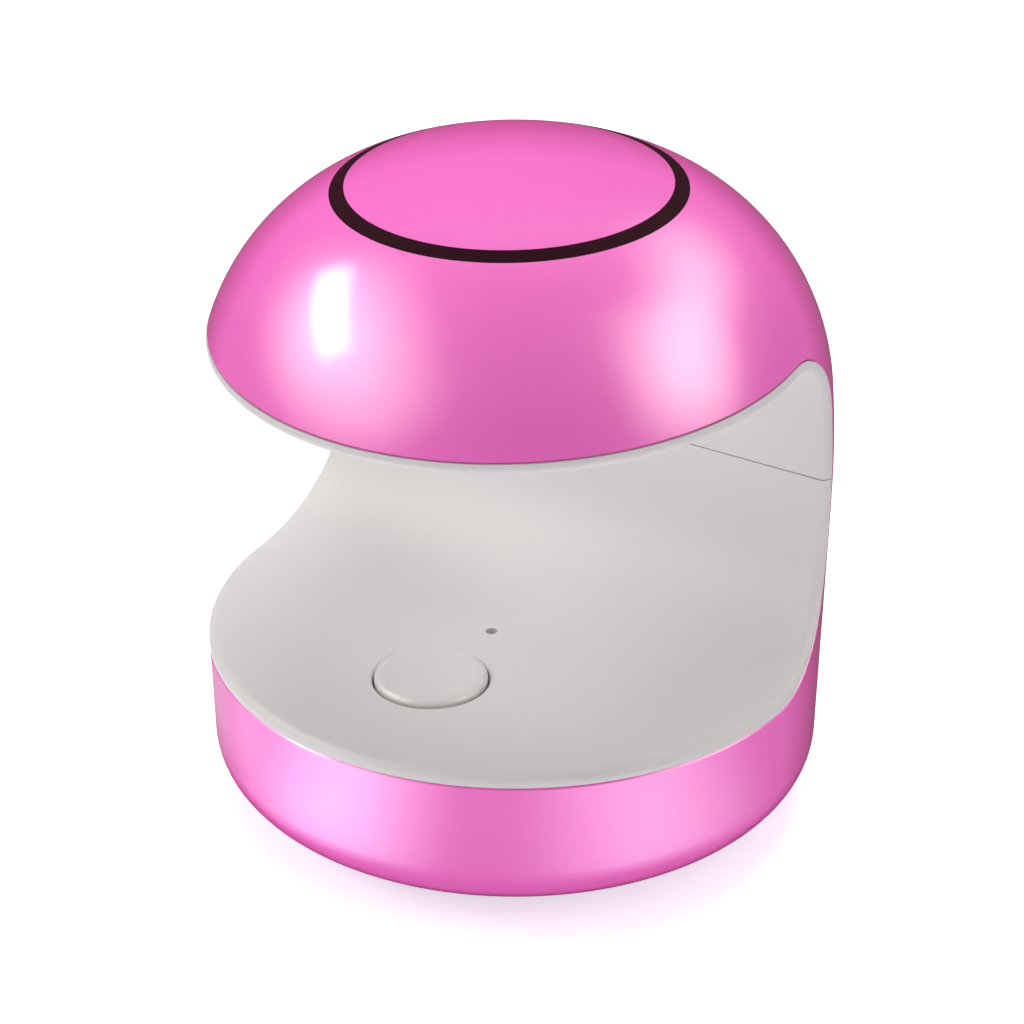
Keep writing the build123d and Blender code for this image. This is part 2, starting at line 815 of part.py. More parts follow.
with BuildPart() as indicator_led:
    with BuildSketch(Plane.XY.offset(board_top)):
        with Locations((0, -pinhole_forward)):
            Rectangle(led_chip_length, led_chip_width)
    extrude(amount=led_chip_height)
indicator_led.part.label = "indicator_led"

with BuildPart() as light_pipe:
    with BuildSketch(Plane.XY.offset(board_top + led_chip_height + contact_gap)):
        with Locations((0, -pinhole_forward)):
            Circle(light_pipe_radius)
    extrude(amount=board_drop - led_chip_height - contact_gap - seat_gap)
light_pipe.part.label = "light_pipe"

with BuildPart() as timer_chip:
    with BuildSketch(Plane.XY.offset(board_top)):
        with Locations((0, timer_back)):
            Rectangle(timer_length, timer_width)
    extrude(amount=timer_height)
    with BuildSketch(Plane.XY.offset(board_top)):
        with Locations((0, timer_back)):
            with GridLocations(lead_pitch, timer_width + lead_length, lead_count, 2):
                Rectangle(lead_width, lead_length)
    extrude(amount=lead_thickness)
timer_chip.part.label = "timer_chip"

with BuildPart() as smoothing_capacitor:
    with BuildSketch(Plane.XY.offset(board_top)):
        with Locations((-capacitor_spread, capacitor_back)):
            Circle(capacitor_radius)
    extrude(amount=capacitor_height)
smoothing_capacitor.part.label = "smoothing_capacitor"

with BuildPart() as driver_coil:
    with BuildSketch(Plane.XY.offset(board_top)):
        with Locations((capacitor_spread, capacitor_back)):
            Circle(coil_radius)
    extrude(amount=coil_flange)
    with BuildSketch(Plane.XY.offset(board_top + coil_flange)):
        with Locations((capacitor_spread, capacitor_back)):
            Circle(coil_radius - coil_waist)
    extrude(amount=coil_height - 2 * coil_flange)
    with BuildSketch(Plane.XY.offset(board_top + coil_height - coil_flange)):
        with Locations((capacitor_spread, capacitor_back)):
            Circle(coil_radius)
    extrude(amount=coil_flange)
driver_coil.part.label = "driver_coil"

with BuildPart() as chip_resistors:
    with BuildSketch(Plane.XY.offset(board_top)):
        with Locations((0, -resistor_forward)):
            with GridLocations(resistor_pitch, 0, resistor_count, 1):
                Rectangle(resistor_width, resistor_length)
    extrude(amount=resistor_height)
chip_resistors.part.label = "chip_resistors"

with BuildPart() as usb_shell:
    with BuildSketch(Plane.XZ.offset(-usb_mouth)):
        usb_outline(0)
    extrude(amount=usb_depth)
    with BuildSketch(Plane.XZ.offset(-usb_mouth)):
        usb_outline(usb_wall)
    extrude(amount=usb_depth, mode=Mode.SUBTRACT)
usb_shell.part.label = "usb_shell"

with BuildPart() as usb_tongue:
    with BuildSketch(Plane.XZ.offset(usb_depth - usb_mouth - tongue_block)):
        usb_outline(usb_wall + seat_gap)
    extrude(amount=tongue_block)
    with BuildSketch(Plane.XZ.offset(tongue_inset - usb_mouth)):
        with Locations((0, usb_middle)):
            Rectangle(tongue_width, tongue_thickness)
    extrude(amount=usb_depth - tongue_inset - tongue_block)
usb_tongue.part.label = "usb_tongue"

# White header on the board, the plug in it and the two wires up to the lamps
pin_points = [(-pin_pitch / 2, header_back), (pin_pitch / 2, header_back)]
header_inside = (header_length - 2 * header_wall, header_width - 2 * header_wall)
plug_under = board_top + header_floor + seat_gap
plug_top = board_top + header_height + plug_rise
with BuildPart() as board_header:
    with BuildSketch(Plane.XY.offset(board_top)):
        with Locations((0, header_back)):
            Rectangle(header_length, header_width)
    extrude(amount=header_height)
    with BuildSketch(Plane.XY.offset(board_top + header_floor)):
        with Locations((0, header_back)):
            Rectangle(*header_inside)
    extrude(amount=header_height - header_floor, mode=Mode.SUBTRACT)
board_header.part.label = "board_header"

with BuildPart() as header_pins:
    with BuildSketch(Plane.XY.offset(board_top + header_floor)):
        with Locations(*pin_points):
            Rectangle(pin_side, pin_side)
    extrude(amount=pin_height - header_floor)
header_pins.part.label = "header_pins"

with BuildPart() as wire_plug:
    with BuildSketch(Plane.XY.offset(plug_under)):
        with Locations((0, header_back)):
            Rectangle(header_inside[0] - 2 * plug_gap, header_inside[1] - 2 * plug_gap)
    extrude(amount=plug_top - plug_under)
    with BuildSketch(Plane.XY.offset(plug_under)):
        with Locations(*pin_points):
            Rectangle(pin_side + 2 * plug_gap, pin_side + 2 * plug_gap)
    extrude(amount=pin_height, mode=Mode.SUBTRACT)
wire_plug.part.label = "wire_plug"

solder_point = ceiling_plane.from_local_coords((0, solder_back, lamp_board_top))
wire_rise = (body_height - shell_wall - solder_point.Z) * wire_rise_share
above_solder = ceiling_plane.from_local_coords((0, solder_back, lamp_board_top + wire_rise))
wire_route = [
    (header_back, plug_top),
    (header_back, plug_top + wire_first_run),
    (header_back + wire_bow, (plug_top + solder_point.Z) / 2),
    (header_back, solder_point.Z - wire_shoulder_drop),
    (header_back - wire_lean, solder_point.Z + wire_rise),
    (above_solder.Y, above_solder.Z),
    (solder_point.Y, solder_point.Z),
]
wire_bends = []
for before, corner, after in zip(wire_route, wire_route[1:], wire_route[2:]):
    first_run = Vector(*corner) - Vector(*before)
    second_run = Vector(*after) - Vector(*corner)
    half_turn = radians(first_run.get_angle(second_run)) / 2
    wire_bends.append(wire_bend_share * min(first_run.length, second_run.length) / tan(half_turn))
print("wire bend radii", [round(bend, 1) for bend in wire_bends])
with BuildPart() as led_wires:
    for side in (-1, 1):
        with BuildLine(Plane.YZ.offset(side * wire_pitch / 2)):
            FilletPolyline(*wire_route, radius=wire_bends)
        with BuildSketch(Plane.XY.offset(plug_top)):
            with Locations((side * wire_pitch / 2, header_back)):
                Circle(wire_radius)
        sweep()
led_wires.part.label = "led_wires"


# Bright tray in the ceiling, the board on it and the lamps that look through its roof
with BuildPart() as reflector:
    with BuildSketch(ceiling_plane):
        RectangleRounded(tray_length, tray_width, tray_corner)
    extrude(amount=tray_flange)
    for height, length, width in (
        (tray_flange, tray_mouth_length, tray_mouth_width),
        (tray_height, tray_roof_length, tray_roof_width),
    ):
        with BuildSketch(ceiling_plane.offset(height)):
            RectangleRounded(length + 2 * tray_wall, width + 2 * tray_wall, tray_cup_corner + tray_wall)
    loft()
    for height, length, width in (
        (0, tray_mouth_length, tray_mouth_width),
        (tray_height - tray_wall, tray_roof_length, tray_roof_width),
    ):
        with BuildSketch(ceiling_plane.offset(height)):
            RectangleRounded(length, width, tray_cup_corner)
    loft(mode=Mode.SUBTRACT)
    with BuildSketch(ceiling_plane.offset(tray_height)):
        with GridLocations(lamp_pitch_x, lamp_pitch_y, lamp_columns, lamp_rows):
            Rectangle(lamp_side + 2 * lamp_hole_gap, lamp_side + 2 * lamp_hole_gap)
    extrude(amount=-tray_wall, mode=Mode.SUBTRACT)
reflector.part.label = "reflector"

with BuildPart() as led_board:
    with BuildSketch(ceiling_plane.offset(tray_height)):
        RectangleRounded(lamp_board_length, lamp_board_width, lamp_board_corner)
        with Locations(*lamp_screw_points):
            Circle(small_shank_radius + screw_clearance, mode=Mode.SUBTRACT)
    extrude(amount=lamp_board_thickness)
led_board.part.label = "led_board"

with BuildPart() as uv_leds:
    with BuildSketch(ceiling_plane.offset(tray_height)):
        with GridLocations(lamp_pitch_x, lamp_pitch_y, lamp_columns, lamp_rows):
            Rectangle(lamp_side, lamp_side)
    extrude(amount=-lamp_thickness)
    with BuildSketch(ceiling_plane.offset(tray_height - lamp_thickness)):
        with GridLocations(lamp_pitch_x, lamp_pitch_y, lamp_columns, lamp_rows):
            Circle(lamp_dome_radius)
    extrude(amount=-lamp_dome_radius, taper=lamp_dome_taper)
uv_leds.part.label = "uv_leds"

base_cover_screws = screw_set(
    Plane.XY.offset(cover_screw_seat), cover_screw_points,
    big_head_radius, big_head_height, big_shank_radius, cover_screw_length,
)
base_cover_screws.label = "base_cover_screws"
column_screws = screw_set(
    Plane.XY.offset(post_seat), post_points,
    big_head_radius, big_head_height, big_shank_radius, column_screw_length,
)
column_screws.label = "column_screws"
head_screws = screw_set(
    ceiling_plane.offset(head_seat), head_screw_points,
    big_head_radius, big_head_height, big_shank_radius, head_screw_length,
)
head_screws.label = "head_screws"
control_board_screws = screw_set(
    Plane.XY.offset(board_under), board_screw_points,
    small_head_radius, small_head_height, small_shank_radius, board_screw_length,
)
control_board_screws.label = "control_board_screws"
lamp_screw_plane = Plane(
    origin=ceiling_plane.offset(lamp_board_top).origin,
    x_dir=ceiling_plane.x_dir,
    z_dir=-ceiling_plane.z_dir,
)
led_board_screws = screw_set(
    lamp_screw_plane, lamp_screw_points,
    small_head_radius, small_head_height, small_shank_radius, led_screw_length,
)
led_board_screws.label = "led_board_screws"

pieces = [
    upper_shell.part, lower_shell.part, trim_ring.part, upper_liner.part, lower_liner.part,
    power_button.part, switch_housing.part, switch_cover.part, switch_plunger.part,
    base_cover.part, rubber_feet.part, base_cover_screws, column_screws, head_screws,
    control_board.part, control_board_screws, indicator_led.part, light_pipe.part,
    timer_chip.part, smoothing_capacitor.part, driver_coil.part, chip_resistors.part,
    usb_shell.part, usb_tongue.part, board_header.part, header_pins.part, wire_plug.part,
    led_wires.part, reflector.part, led_board.part, uv_leds.part, led_board_screws,
]
os.makedirs("parts", exist_ok=True)
for piece in pieces:
    export_step(piece, f"parts/{piece.label}.step")
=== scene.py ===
import bpy
import json
from math import cos, radians, sin
from mathutils import Matrix, Vector

# Mini nail lamp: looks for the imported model. Lengths are in metres, +Z is up, the open front faces -Y.
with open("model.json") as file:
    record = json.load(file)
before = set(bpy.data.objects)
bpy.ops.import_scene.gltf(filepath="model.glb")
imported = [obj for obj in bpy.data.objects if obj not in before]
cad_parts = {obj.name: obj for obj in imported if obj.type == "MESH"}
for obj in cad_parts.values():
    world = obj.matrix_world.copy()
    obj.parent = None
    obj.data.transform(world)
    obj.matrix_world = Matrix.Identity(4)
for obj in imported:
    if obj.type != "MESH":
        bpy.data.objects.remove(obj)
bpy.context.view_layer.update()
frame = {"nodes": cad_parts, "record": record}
nodes = frame["nodes"]
print("frame loaded:", len(nodes), "nodes")

# Camera: set by the photograph's own perspective
cameraView = {
    "azimuth": 32.73,        # degrees from the open front towards the right
    "elevation": 27.71,
    "distance": 0.4599,
    "lookHeight": 0.04365,
    "sideStep": -0.00047,    # how far right of the lamp's middle it aims
    "lens": 110.35,
    "clipStart": 0.01,
    "clipEnd": 30.0,
}


# From the lamp towards the azimuth and elevation, in degrees
def direction(azimuth, elevation):
    a, e = radians(azimuth), radians(elevation)
    return Vector((sin(a) * cos(e), -cos(a) * cos(e), sin(e)))


def addCamera(view):
    toEye = direction(view["azimuth"], view["elevation"])
    across = Vector((0, 0, 1)).cross(toEye).normalized()
    target = Vector((0, 0, view["lookHeight"])) + across * view["sideStep"]
    data = bpy.data.cameras.new("photoCamera")
    data.lens = view["lens"]
    data.clip_start = view["clipStart"]
    data.clip_end = view["clipEnd"]
    eye = bpy.data.objects.new("photoCamera", data)
    eye.location = target + toEye * view["distance"]
    eye.rotation_euler = toEye.to_track_quat("Z", "Y").to_euler()
    bpy.context.scene.collection.objects.link(eye)
    bpy.context.scene.camera = eye


addCamera(cameraView)
bpy.context.scene.view_settings.view_transform = "Standard"
print("camera placed")


# Small node helpers for lights, floor and finishes
def addMath(tree, operation, first, second):
    node = tree.nodes.new("ShaderNodeMath")
    node.operation = operation
    for socket, value in zip(node.inputs, (first, second)):
        if isinstance(value, (int, float)):
            socket.default_value = value
        else:
            tree.links.new(value, socket)
    return node.outputs[0]


def addFade(tree, value, start, end):
    fade = tree.nodes.new("ShaderNodeMapRange")
    fade.interpolation_type = "SMOOTHSTEP"
    fade.inputs["From Min"].default_value = start
    fade.inputs["From Max"].default_value = end
    tree.links.new(value, fade.inputs["Value"])
    return fade.outputs["Result"]


# Distances from the lamp's middle where a bright patch of the floor starts, is full, begins to fade and ends
nearRing = (0.047, 0.062, 0.075, 0.130)
wideRing = (0.040, 0.060, 0.140, 0.500)

# Floor: pale, and fading into the white round it
floorLook = {
    "size": 40.0,
    "color": (0.93, 0.925, 0.925, 1),
    "reflectedColor": (0.30, 0.28, 0.29, 1),    # what glossy faces see of it
    "glow": 0.6,                                # lifts it towards white for the camera
    "glowColor": (0.92, 1.0, 1.08, 1),
    "roughness": 0.9,
    "specular": 0.0,
    # bright patches that one kind of ray sees, with the azimuths where each starts, is full and ends
    "patches": [
        {"ray": "Is Glossy Ray", "strength": 10.4, "azimuths": (-46, -13, 22), "radii": nearRing},
        {"ray": "Is Glossy Ray", "strength": 2.2, "azimuths": (-110, -50, -4), "radii": nearRing},
        {"ray": "Is Glossy Ray", "strength": 6.9, "azimuths": (27, 64, 108), "radii": nearRing},
        {"ray": "Is Glossy Ray", "strength": 1.1, "azimuths": (-140, 24, 150), "radii": nearRing},
        {"ray": "Is Diffuse Ray", "strength": 0.36, "azimuths": (-130, 24, 170), "radii": wideRing},
    ],
}


# The strength of the bright patches at each place on the floor
def addPatches(tree, path, patches):
    place = tree.nodes.new("ShaderNodeNewGeometry")
    parts = tree.nodes.new("ShaderNodeSeparateXYZ")
    tree.links.new(place.outputs["Position"], parts.inputs[0])
    length = tree.nodes.new("ShaderNodeVectorMath")
    length.operation = "LENGTH"
    tree.links.new(place.outputs["Position"], length.inputs[0])
    radius = length.outputs["Value"]
    back = addMath(tree, "MULTIPLY", parts.outputs["Y"], -1.0)
    turn = addMath(tree, "ARCTAN2", parts.outputs["X"], back)
    total = 0.0
    for patch in patches:
        start, peak, end = (radians(azimuth) for azimuth in patch["azimuths"])
        near, full, fading, far = patch["radii"]
        fades = [
            path.outputs[patch["ray"]],
            addFade(tree, turn, start, peak),
            addFade(tree, turn, end, peak),
            addFade(tree, radius, near, full),
            addFade(tree, radius, far, fading),
        ]
        strength = patch["strength"]
        for fade in fades:
            strength = addMath(tree, "MULTIPLY", fade, strength)
        total = addMath(tree, "ADD", strength, total)
    return total


def addFloor(look):
    half = look["size"] / 2
    mesh = bpy.data.meshes.new("floor")
    corners = [(-half, -half, 0), (half, -half, 0), (half, half, 0), (-half, half, 0)]
    mesh.from_pydata(corners, [], [(0, 1, 2, 3)])
    floor = bpy.data.objects.new("floor", mesh)
    bpy.context.scene.collection.objects.link(floor)
    material = bpy.data.materials.new("paleFloor")
    material.use_nodes = True
    tree = material.node_tree
    shader = tree.nodes["Principled BSDF"]
    path = tree.nodes.new("ShaderNodeLightPath")
    seen = tree.nodes.new("ShaderNodeMix")
    seen.data_type = "RGBA"
    seen.inputs["A"].default_value = look["color"]
    seen.inputs["B"].default_value = look["reflectedColor"]
    tree.links.new(path.outputs["Is Glossy Ray"], seen.inputs["Factor"])
    tree.links.new(seen.outputs["Result"], shader.inputs["Base Color"])
    glow = addMath(tree, "MULTIPLY", path.outputs["Is Camera Ray"], look["glow"])
    brightness = addMath(tree, "ADD", glow, addPatches(tree, path, look["patches"]))
    tree.links.new(brightness, shader.inputs["Emission Strength"])
    shader.inputs["Emission Color"].default_value = look["glowColor"]
    shader.inputs["Roughness"].default_value = look["roughness"]
    shader.inputs["Specular IOR Level"].default_value = look["specular"]
    material.cycles.emission_sampling = "NONE"
    mesh.materials.append(material)


addFloor(floorLook)
print("floor laid")

# Sky: even light for matt faces, a dim room for glossy ones and a pale ground behind the lamp for the camera
skyLook = {
    "color": (1.0, 0.99, 0.995, 1),
    "strength": 0.42,
    "seenColor": (0.85, 0.875, 0.91, 1),
    "roomStrength": 1.0,
    "roomTint": (1.0, 0.98, 0.99),
    # brightness of the room by the sine of the elevation: paler towards its ceiling
    "roomSteps": [(0.0, 0.10), (0.35, 0.26), (0.75, 0.62), (1.0, 0.66)],
}


def addSky(look):
    world = bpy.data.worlds.new("paleSky")
    world.use_nodes = True
    world.cycles.sampling_method = "NONE"
    tree = world.node_tree
    sky = tree.nodes["Background"]
    sky.inputs["Color"].default_value = look["color"]
    sky.inputs["Strength"].default_value = look["strength"]
    place = tree.nodes.new("ShaderNodeTexCoord")
    parts = tree.nodes.new("ShaderNodeSeparateXYZ")
    ramp = tree.nodes.new("ShaderNodeValToRGB")
    ramp.color_ramp.interpolation = "EASE"
    for rise, _ in look["roomSteps"][1:-1]:
        ramp.color_ramp.elements.new(rise)
    for stop, (rise, grey) in zip(ramp.color_ramp.elements, look["roomSteps"]):
        stop.position = rise
        stop.color = [grey * tint for tint in look["roomTint"]] + [1]
    room = tree.nodes.new("ShaderNodeBackground")
    room.inputs["Strength"].default_value = look["roomStrength"]
    seen = tree.nodes.new("ShaderNodeBackground")
    seen.inputs["Color"].default_value = look["seenColor"]
    path = tree.nodes.new("ShaderNodeLightPath")
    either = tree.nodes.new("ShaderNodeMixShader")
    last = tree.nodes.new("ShaderNodeMixShader")
    tree.links.new(place.outputs["Generated"], parts.inputs["Vector"])
    tree.links.new(parts.outputs["Z"], ramp.inputs["Fac"])
    tree.links.new(ramp.outputs["Color"], room.inputs["Color"])
    tree.links.new(path.outputs["Is Glossy Ray"], either.inputs["Fac"])
    tree.links.new(sky.outputs["Background"], either.inputs[1])
    tree.links.new(room.outputs["Background"], either.inputs[2])
    tree.links.new(path.outputs["Is Camera Ray"], last.inputs["Fac"])
    tree.links.new(either.outputs["Shader"], last.inputs[1])
    tree.links.new(seen.outputs["Background"], last.inputs[2])
    tree.links.new(last.outputs["Shader"], tree.nodes["World Output"].inputs["Surface"])
    bpy.context.scene.world = world


addSky(skyLook)
print("sky set")

# Lamps light the model and give no highlight. Panels give the highlights and light nothing else.
lighting = {
    "aimHeight": 0.05,
    "panelColor": (1.0, 1.02, 0.82),
    "lamps": [
        {"name": "leftLamp", "azimuth": -58, "elevation": 30, "distance": 0.90,
         "width": 0.50, "height": 0.40, "power": 2.0},
        {"name": "frontLamp", "azimuth": 16, "elevation": 8, "distance": 1.00,
         "width": 0.90, "height": 0.24, "power": 0.5},
        {"name": "rightLamp", "azimuth": 92, "elevation": 34, "distance": 0.90,
         "width": 0.50, "height": 0.50, "power": 0.6},
        {"name": "topLamp", "azimuth": 205, "elevation": 67, "distance": 1.00,
         "width": 0.70, "height": 0.70, "power": 6.6},
        # brightens the white floor and wall from under the ceiling, from a place of its own
        {"name": "gapLamp", "place": (0.005, -0.015, 0.069), "elevation": 72,
         "width": 0.060, "height": 0.040, "power": 0.0064},
    ],
    # edges are the shares of half the width and half the height that fade out
    "panels": [
        {"name": "leftWindow", "azimuth": -65, "elevation": 38, "distance": 0.80,
         "width": 0.62, "height": 0.26, "roll": -18, "power": 12.5, "edges": (0.5, 0.75)},
        {"name": "leftGlow", "azimuth": -44, "elevation": 33, "distance": 0.80,
         "width": 1.80, "height": 1.20, "roll": -20, "power": 85.0, "edges": (1.0, 1.0)},
        {"name": "rightGlow", "azimuth": 104, "elevation": 30, "distance": 0.80,
         "width": 0.90, "height": 1.20, "roll": -22, "power": 55.0, "edges": (1.0, 1.0)},
        {"name": "upperRightGlow", "azimuth": 146, "elevation": 42, "distance": 0.80,
         "width": 1.10, "height": 0.66, "roll": 0, "power": 22.0, "edges": (1.0, 1.0)},
    ],
}
halfSpan = 0.5    # a panel runs from 0 to 1 in each of its own two directions


# A rectangle of light that faces back along its direction
def addLight(look):
    azimuth = look.get("azimuth", 0)
    toBox = direction(azimuth, look["elevation"])
    start = Vector(look.get("place", (0, 0, lighting["aimHeight"])))
    east = Vector((cos(radians(azimuth)), sin(radians(azimuth)), 0))
    north = toBox.cross(east)
    roll = radians(look.get("roll", 0))
    sideways = east * cos(roll) + north * sin(roll)
    upward = toBox.cross(sideways)
    data = bpy.data.lights.new(look["name"], "AREA")
    data.shape = "RECTANGLE"
    data.size = look["width"]
    data.size_y = look["height"]
    data.energy = look["power"]
    box = bpy.data.objects.new(look["name"], data)
    axes = Matrix((sideways, upward, toBox)).transposed().to_4x4()
    box.matrix_world = Matrix.Translation(start + toBox * look.get("distance", 0)) @ axes
    box.visible_camera = False
    bpy.context.scene.collection.objects.link(box)
    return box, data


def addLamp(look):
    box, _ = addLight(look)
    box.visible_glossy = False


def addPanel(look):
    box, data = addLight(look)
    box.visible_diffuse = False
    data.color = lighting["panelColor"]
    data.use_nodes = True
    tree = data.node_tree
    place = tree.nodes.new("ShaderNodeNewGeometry")
    middle = tree.nodes.new("ShaderNodeVectorMath")
    middle.operation = "SUBTRACT"
    middle.inputs[1].default_value = (halfSpan, halfSpan, 0)
    spread = tree.nodes.new("ShaderNodeVectorMath")
    spread.operation = "ABSOLUTE"
    tree.links.new(place.outputs["Parametric"], middle.inputs[0])
    tree.links.new(middle.outputs[0], spread.inputs[0])
    parts = tree.nodes.new("ShaderNodeSeparateXYZ")
    tree.links.new(spread.outputs[0], parts.inputs[0])
    fades = [addFade(tree, parts.outputs[axis], halfSpan, halfSpan - halfSpan * edge)
             for axis, edge in zip("XY", look["edges"])]
    tree.links.new(addMath(tree, "MULTIPLY", *fades), tree.nodes["Emission"].inputs["Strength"])


for lamp in lighting["lamps"]:
    addLamp(lamp)
for panel in lighting["panels"]:
    addPanel(panel)
print("lamps and panels lit")

# Shader groups that all finishes share
noise = {
    "middle": 0.5,    # a noise runs from 0 to 1 about this value
    "grainDetail": 3.0,
    "rippleDetail": 1.0,
    "cloudDetail": 4.0,
}


def newGroup(name, inputs, outputs):
    group = bpy.data.node_groups.new(name, "ShaderNodeTree")
    for label, kind in inputs:
        group.interface.new_socket(name=label, in_out="INPUT", socket_type=kind)
    for label, kind in outputs:
        group.interface.new_socket(name=label, in_out="OUTPUT", socket_type=kind)
    return group, group.nodes.new("NodeGroupInput"), group.nodes.new("NodeGroupOutput")


# Fine grain of a moulded or machined face, mixed with slow ripples, as a height
def mouldedGrainGroup():
    inputs = [("Cells per metre", "NodeSocketFloat"), ("Ripple per metre", "NodeSocketFloat"),
              ("Ripple share", "NodeSocketFloat")]
    group, given, result = newGroup("mouldedGrain", inputs, [("Height", "NodeSocketFloat")])
    place = group.nodes.new("ShaderNodeTexCoord")
    grain = group.nodes.new("ShaderNodeTexNoise")
    grain.inputs["Detail"].default_value = noise["grainDetail"]
    ripple = group.nodes.new("ShaderNodeTexNoise")
    ripple.inputs["Detail"].default_value = noise["rippleDetail"]
    for texture, count in ((grain, "Cells per metre"), (ripple, "Ripple per metre")):
        group.links.new(place.outputs["Object"], texture.inputs["Vector"])
        group.links.new(given.outputs[count], texture.inputs["Scale"])
    fine = addMath(group, "SUBTRACT", 1.0, given.outputs["Ripple share"])
    first = addMath(group, "MULTIPLY", grain.outputs["Fac"], fine)
    second = addMath(group, "MULTIPLY", ripple.outputs["Fac"], given.outputs["Ripple share"])
    group.links.new(addMath(group, "ADD", first, second), result.inputs["Height"])
    return group


# Slow drift between two close colours, with a little drift in the roughness
def toneDriftGroup():
    inputs = [("Color", "NodeSocketColor"), ("Other color", "NodeSocketColor"),
              ("Patches per metre", "NodeSocketFloat"), ("Roughness", "NodeSocketFloat"),
              ("Roughness drift", "NodeSocketFloat")]
    outputs = [("Color", "NodeSocketColor"), ("Roughness", "NodeSocketFloat")]
    group, given, result = newGroup("toneDrift", inputs, outputs)
    place = group.nodes.new("ShaderNodeTexCoord")
    cloud = group.nodes.new("ShaderNodeTexNoise")
    cloud.inputs["Detail"].default_value = noise["cloudDetail"]
    group.links.new(place.outputs["Object"], cloud.inputs["Vector"])
    group.links.new(given.outputs["Patches per metre"], cloud.inputs["Scale"])
    blend = group.nodes.new("ShaderNodeMix")
    blend.data_type = "RGBA"
    group.links.new(cloud.outputs["Fac"], blend.inputs["Factor"])
    group.links.new(given.outputs["Color"], blend.inputs["A"])
    group.links.new(given.outputs["Other color"], blend.inputs["B"])
    group.links.new(blend.outputs["Result"], result.inputs["Color"])
    centred = addMath(group, "SUBTRACT", cloud.outputs["Fac"], noise["middle"])
    drift = addMath(group, "MULTIPLY", centred, given.outputs["Roughness drift"])
    group.links.new(addMath(group, "ADD", drift, given.outputs["Roughness"]), result.inputs["Roughness"])
    return group


grainGroup = mouldedGrainGroup()
driftGroup = toneDriftGroup()
print("shader groups made")

# What each finish has unless its own values say otherwise; counts are in a metre
plainLook = {
    "patches": 30.0,
    "roughnessDrift": 0.05,
    "grain": 4000.0,
    "ripple": 180.0,
    "rippleShare": 0.3,
    "bumpStrength": 0.3,
    "bumpDepth": 0.00002,
    "even": {},    # values of the shader's own sockets that stay the same all over
}
pearlLook = {
    "color": (0.87, 0.146, 0.55),
    "otherColor": (0.89, 0.157, 0.567),
    "patches": 40.0,
    "roughness": 0.40,
    "roughnessDrift": 0.03,
    "grain": 9000.0,
    "ripple": 120.0,
    "rippleShare": 0.6,
    "bumpStrength": 0.1,
    "bumpDepth": 0.00001,
    "even": {"Specular IOR Level": 0.25, "Specular Tint": (1.0, 0.55, 0.85, 1), "Coat Weight": 0.5,
             "Coat Roughness": 0.10, "Coat IOR": 1.55},
    # seen edge on: how far it turns to the deeper colour (partly the paint's own flop, partly painted shade
    # along the edges)
    #     # and how its gloss goes down, each as facing values where that starts and ends, and the values
    #     there
    "facingBlend": 0.5,
    "flopAndShadeColor": (0.40, 0.035, 0.17),
    "flopAndShadeDepth": (0.63, 0.96, 0.0, 1.0),
    "edgeSockets": {"Coat Weight": (0.28, 0.72, 0.50, 0.12), "Specular IOR Level": (0.28, 0.72, 0.25, 0.04)},
}
whiteLook = {
    "color": (0.69, 0.661, 0.660),
    "otherColor": (0.675, 0.646, 0.645),
    "roughness": 0.5,
    "grain": 5200.0,
    "bumpStrength": 0.25,
    "bumpDepth": 0.000012,
    "even": {
        "Specular IOR Level": 0.1,
        "Subsurface Weight": 0.05,
        "Subsurface Radius": (0.002, 0.0015, 0.0012),
    },
}
